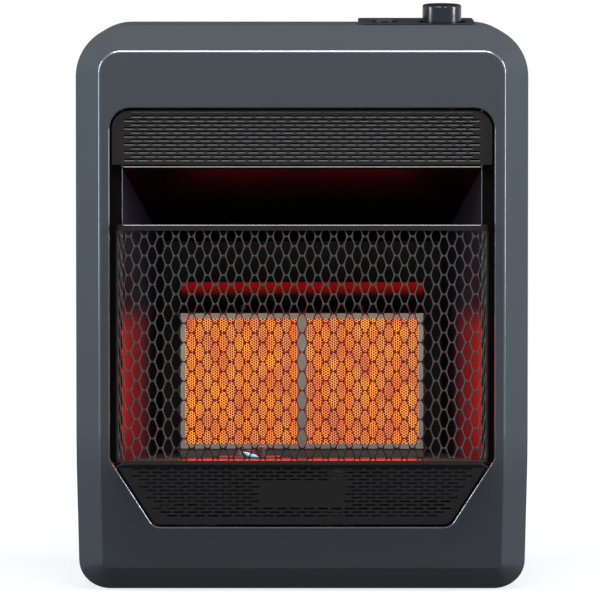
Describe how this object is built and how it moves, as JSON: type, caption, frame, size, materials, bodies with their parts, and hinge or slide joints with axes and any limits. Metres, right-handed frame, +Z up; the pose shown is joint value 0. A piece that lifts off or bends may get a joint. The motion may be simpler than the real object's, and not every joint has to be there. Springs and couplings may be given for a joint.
{
  "type": "infrared gas space heater",
  "caption": "Upright box-shaped gas heater with glowing ceramic burner plates behind a mesh guard, slotted grilles above and below, and a control knob with a push igniter on top.",
  "frame": {"origin": "bottom centre of the whole box, on the floor", "axes": "+X to the right as seen from the front, the front faces -Y, +Z up"},
  "size_m": [0.38, 0.1972, 0.4998],
  "materials": {
    "casing_paint": "satin slate blue-grey powder coat",
    "chassis_paint": "matt dark grey",
    "black_enamel": "satin black heat-proof enamel",
    "reflector": "heat-tinted sheet steel",
    "burner_steel": "aluminised sheet steel",
    "zinc": "zinc plated",
    "ceramic_plate": "glowing perforated plate",
    "ceramic_white": "glazed",
    "fibre": "ceramic fibre",
    "cast_alloy": "die cast",
    "sheet_shutter": "plain",
    "brass_fitting": "plain brass and copper",
    "black_plastic": "fine grain black",
    "knob_plastic": "gloss black",
    "black_rubber": "matt"
  },
  "bodies": {
    "cabinet": {"front_casing": "casing_paint", "chassis_side_left": "chassis_paint", "chassis_side_right": "chassis_paint", "chassis_top": "chassis_paint", "chassis_base": "chassis_paint", "back_panel": "chassis_paint", "valve_bracket": "chassis_paint", "regulator_bracket": "chassis_paint", "upper_grille": "black_enamel", "lower_grille": "black_enamel", "hood": "black_enamel", "guard_frame": "black_enamel", "guard_net_front": "black_enamel", "guard_net_left": "black_enamel", "guard_net_right": "black_enamel", "firebox_wall_left": "reflector", "firebox_wall_right": "reflector", "firebox_back": "reflector", "firebox_floor": "reflector", "burner_box": "burner_steel", "burner_retainer": "burner_steel", "burner_rail": "burner_steel", "burner_visor": "burner_steel", "pilot_bracket": "burner_steel", "casing_screws": "zinc", "back_screws": "zinc", "visor_screws": "zinc", "valve_screws": "zinc", "valve_spring": "zinc", "igniter_spring": "zinc", "igniter_nut": "zinc", "bulb_clips": "zinc", "thermocouple": "zinc", "plaque_left": "ceramic_plate", "plaque_right": "ceramic_plate", "spark_electrode": "ceramic_white", "gasket_left": "fibre", "gasket_right": "fibre", "venturi": "cast_alloy", "gas_valve": "cast_alloy", "regulator": "cast_alloy", "air_shutter": "sheet_shutter", "injector": "brass_fitting", "pilot_burner": "brass_fitting", "inlet_fitting": "brass_fitting", "valve_fittings": "brass_fitting", "supply_tube": "brass_fitting", "main_tube": "brass_fitting", "pilot_tube": "brass_fitting", "thermocouple_lead": "brass_fitting", "thermostat_bulb": "brass_fitting", "thermostat_capillary": "brass_fitting", "control_console": "black_plastic", "igniter_body": "black_plastic", "rear_pads": "black_rubber", "igniter_lead": "black_rubber"},
    "stem_push": {"spring_seat": "zinc"},
    "knob": {"control_knob": "knob_plastic", "valve_stem": "zinc"},
    "button": {"igniter_button": "black_plastic"}
  },
  "joints": [
    {"name": "knob_push", "type": "slide", "parent": "cabinet", "child": "stem_push", "axis": [0, 0.1564, -0.9877], "range_m": [0, 0.004], "stiffness_N_per_m": 800, "springref_m": -0.003, "deforming": ["valve_spring"]},
    {"name": "knob_turn", "type": "hinge", "parent": "stem_push", "child": "knob", "pos_m": [0.1185, -0.0326, 0.48312], "axis": [0, -0.1564, 0.9877], "range_deg": [0, 240]},
    {"name": "igniter_press", "type": "slide", "parent": "cabinet", "child": "button", "axis": [0, 0.1564, -0.9877], "range_m": [0, 0.005], "stiffness_N_per_m": 400, "springref_m": -0.004, "deforming": ["igniter_spring"]}
  ]
}
